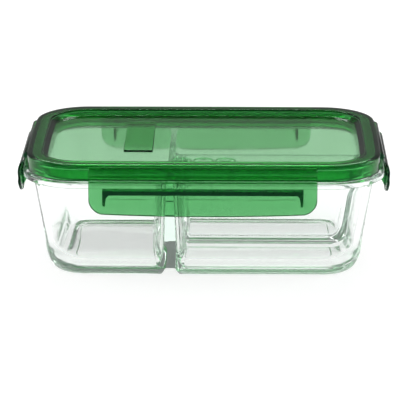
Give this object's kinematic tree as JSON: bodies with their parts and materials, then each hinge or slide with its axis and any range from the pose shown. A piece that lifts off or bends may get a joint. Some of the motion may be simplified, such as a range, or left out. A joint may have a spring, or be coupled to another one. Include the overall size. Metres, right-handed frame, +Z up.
{
  "type": "bento lunch box",
  "caption": "Rectangular glass lunch box with a moulded-in T divider and a green clip-on lid held by a hinged flap on each side.",
  "frame": {"origin": "middle of the foot, on the surface that the box stands on", "axes": "+X along the long side, +Z up, and the front of the box, with the marks on the lid, faces -Y"},
  "size_m": [0.2498, 0.1658, 0.0815],
  "materials": {
    "glass": "clear pressed glass, polished",
    "lid_plastic": "translucent green polypropylene, satin gloss",
    "flap_plastic": "translucent green polypropylene, satin gloss",
    "hinge_plastic": "thin polypropylene web",
    "silicone": "soft translucent silicone"
  },
  "bodies": {
    "base": {"glass_base": "glass"},
    "lid": {"lid_shell": "lid_plastic", "lid_seal": "silicone", "front_hinge_web": "hinge_plastic", "back_hinge_web": "hinge_plastic", "left_hinge_web": "hinge_plastic", "right_hinge_web": "hinge_plastic"},
    "front_flap_body": {"front_flap": "flap_plastic"},
    "back_flap_body": {"back_flap": "flap_plastic"},
    "left_flap_body": {"left_flap": "flap_plastic"},
    "right_flap_body": {"right_flap": "flap_plastic"}
  },
  "joints": [
    {"name": "lid_lift", "type": "slide", "parent": "base", "child": "lid", "axis": [0, 0, 1], "range_m": [0, 0.09]},
    {"name": "front_flap_hinge", "type": "hinge", "parent": "lid", "child": "front_flap_body", "pos_m": [0, -0.07725, 0.0756], "axis": [-1, 0, 0], "range_deg": [0, 120], "deforming": ["front_hinge_web"]},
    {"name": "back_flap_hinge", "type": "hinge", "parent": "lid", "child": "back_flap_body", "pos_m": [0, 0.07725, 0.0756], "axis": [1, 0, 0], "range_deg": [0, 120], "deforming": ["back_hinge_web"]},
    {"name": "left_flap_hinge", "type": "hinge", "parent": "lid", "child": "left_flap_body", "pos_m": [-0.11975, 0, 0.0756], "axis": [0, 1, 0], "range_deg": [0, 120], "deforming": ["left_hinge_web"]},
    {"name": "right_flap_hinge", "type": "hinge", "parent": "lid", "child": "right_flap_body", "pos_m": [0.11975, 0, 0.0756], "axis": [0, -1, 0], "range_deg": [0, 120], "deforming": ["right_hinge_web"]}
  ]
}
